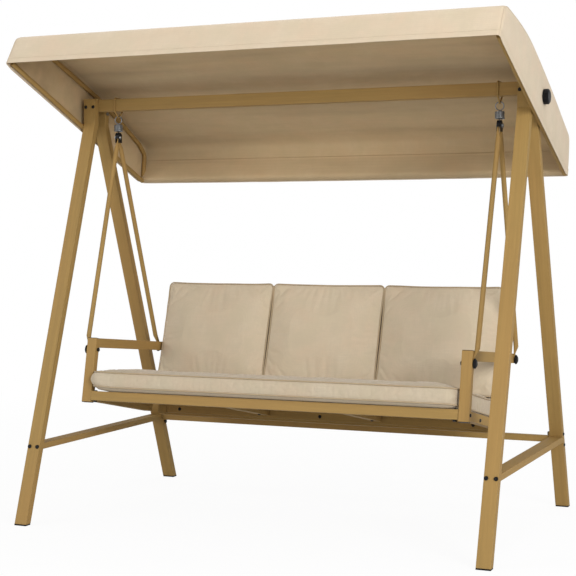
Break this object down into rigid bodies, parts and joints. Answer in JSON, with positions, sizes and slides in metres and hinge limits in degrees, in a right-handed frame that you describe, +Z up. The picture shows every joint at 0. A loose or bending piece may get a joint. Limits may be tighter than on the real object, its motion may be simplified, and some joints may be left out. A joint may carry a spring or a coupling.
{
  "type": "canopy swing bench",
  "caption": "Garden swing bench: cushioned seat hung by rods and coil springs from an A-frame stand, under a tilting fabric canopy.",
  "frame": {"origin": "on the ground, under the middle of the stand", "axes": "+X along the seat, to the right as seen from the front, +Y to the rear, +Z up"},
  "size_m": [1.885, 1.188, 1.8007],
  "materials": {
    "frame_paint": "satin tan paint with a wood-like grain on steel tube",
    "black_plastic": "black moulded plastic",
    "black_steel": "black coated bolts and nuts",
    "zinc_steel": "zinc-plated spring wire and pins",
    "canopy_fabric": "beige woven polyester canopy cloth",
    "cushion_fabric": "beige woven polyester cushion cover, piped"
  },
  "bodies": {
    "stand": {"leg_front_left": "frame_paint", "leg_front_right": "frame_paint", "leg_rear_left": "frame_paint", "leg_rear_right": "frame_paint", "crossbar": "frame_paint", "side_brace_left": "frame_paint", "side_brace_right": "frame_paint", "rear_crossbar": "frame_paint", "foot_caps": "black_plastic", "tube_plugs": "black_plastic", "stand_bolts": "black_steel", "hanger_loops": "frame_paint", "pivot_bolts": "zinc_steel"},
    "canopy": {"canopy_upper_tube_left": "frame_paint", "canopy_upper_tube_right": "frame_paint", "canopy_lower_tube_left": "frame_paint", "canopy_lower_tube_right": "frame_paint", "canopy_front_tube": "frame_paint", "canopy_rear_tube": "frame_paint", "canopy_straps": "frame_paint", "canopy_cover": "canopy_fabric"},
    "knob_left": {"canopy_knob_left": "black_plastic"},
    "knob_right": {"canopy_knob_right": "black_plastic"},
    "hangers": {"spring_eyes": "zinc_steel", "spring_left": "zinc_steel", "spring_right": "zinc_steel"},
    "seat": {"spring_hooks": "zinc_steel", "rod_top_caps": "black_plastic", "rod_top_bolts": "zinc_steel", "rod_front_left": "frame_paint", "rod_front_right": "frame_paint", "rod_rear_left": "frame_paint", "rod_rear_right": "frame_paint", "rod_end_caps": "black_plastic", "rod_bolts": "black_steel", "post_left": "frame_paint", "post_right": "frame_paint", "armrest_left": "frame_paint", "armrest_right": "frame_paint", "arm_plugs": "black_plastic", "front_rail": "frame_paint", "rear_rail": "frame_paint", "side_rail_left": "frame_paint", "side_rail_right": "frame_paint", "middle_rails": "frame_paint", "seat_slats": "frame_paint", "back_upright_left": "frame_paint", "back_upright_right": "frame_paint", "back_centre_upright": "frame_paint", "back_bottom_rail": "frame_paint", "back_top_rail": "frame_paint", "back_slats": "frame_paint", "seat_bolts": "black_steel", "seat_cushion": "cushion_fabric", "back_cushion_left": "cushion_fabric", "back_cushion_middle": "cushion_fabric", "back_cushion_right": "cushion_fabric"}
  },
  "joints": [
    {"name": "canopy_tilt", "type": "hinge", "parent": "stand", "child": "canopy", "pos_m": [0, 0.009, 1.555], "axis": [1, 0, 0], "range_deg": [-12, 20]},
    {"name": "knob_left_turn", "type": "hinge", "parent": "stand", "child": "knob_left", "pos_m": [-0.93, 0.009, 1.555], "axis": [1, 0, 0], "continuous": true},
    {"name": "knob_right_turn", "type": "hinge", "parent": "stand", "child": "knob_right", "pos_m": [0.93, 0.009, 1.555], "axis": [1, 0, 0], "continuous": true},
    {"name": "seat_swing", "type": "hinge", "parent": "stand", "child": "hangers", "pos_m": [0, -0.0325, 1.53905], "axis": [1, 0, 0], "range_deg": [-20, 20]},
    {"name": "seat_bounce", "type": "slide", "parent": "hangers", "child": "seat", "axis": [0, 0, 1], "range_m": [-0.02, 0], "stiffness_N_per_m": 60000, "springref_m": 0.012, "deforming": ["spring_left", "spring_right"]}
  ]
}
